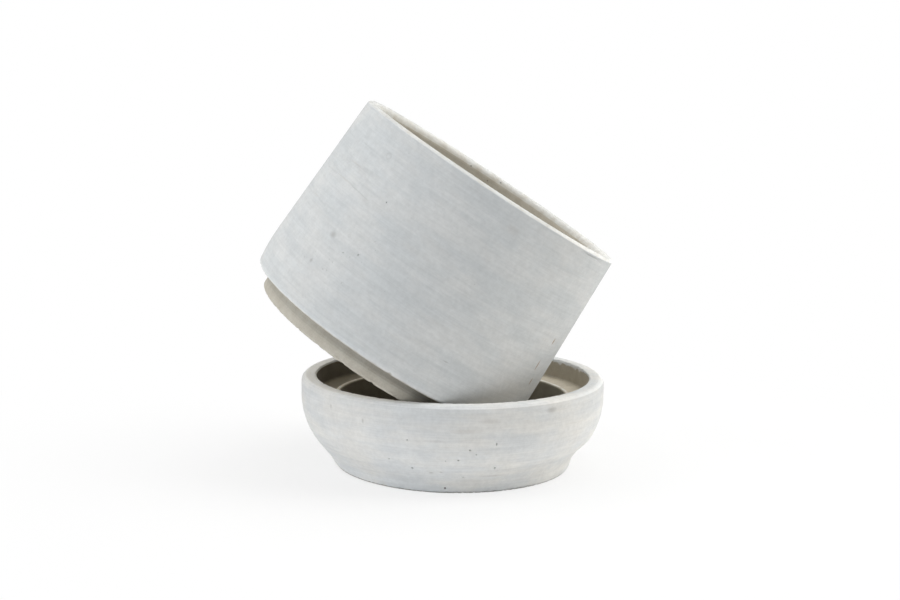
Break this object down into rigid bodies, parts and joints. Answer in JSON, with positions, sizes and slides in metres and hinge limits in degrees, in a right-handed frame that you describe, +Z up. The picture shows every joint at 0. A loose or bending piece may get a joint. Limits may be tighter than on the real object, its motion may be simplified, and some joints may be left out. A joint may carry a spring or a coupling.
{
  "type": "plant pot with saucer",
  "caption": "Round concrete plant pot with a stepped foot, leaning in a deep concrete saucer whose recess takes the foot when the pot stands upright.",
  "frame": {"origin": "middle of the saucer's underside, on the ground", "axes": "+Z up, +X the way the pot leans, -Y toward the viewer of the picture"},
  "size_m": [0.2298, 0.2, 0.2392],
  "materials": {
    "saucer_concrete": "matte cast concrete, whitewashed outside",
    "pot_concrete": "matte cast concrete, whitewashed outside"
  },
  "bodies": {
    "saucer": {"saucer": "saucer_concrete"},
    "pot": {"pot": "pot_concrete"}
  },
  "joints": [
    {"name": "pot_lift", "type": "slide", "parent": "saucer", "child": "pot", "axis": [0, 0, 1], "range_m": [0, 0.12]}
  ]
}
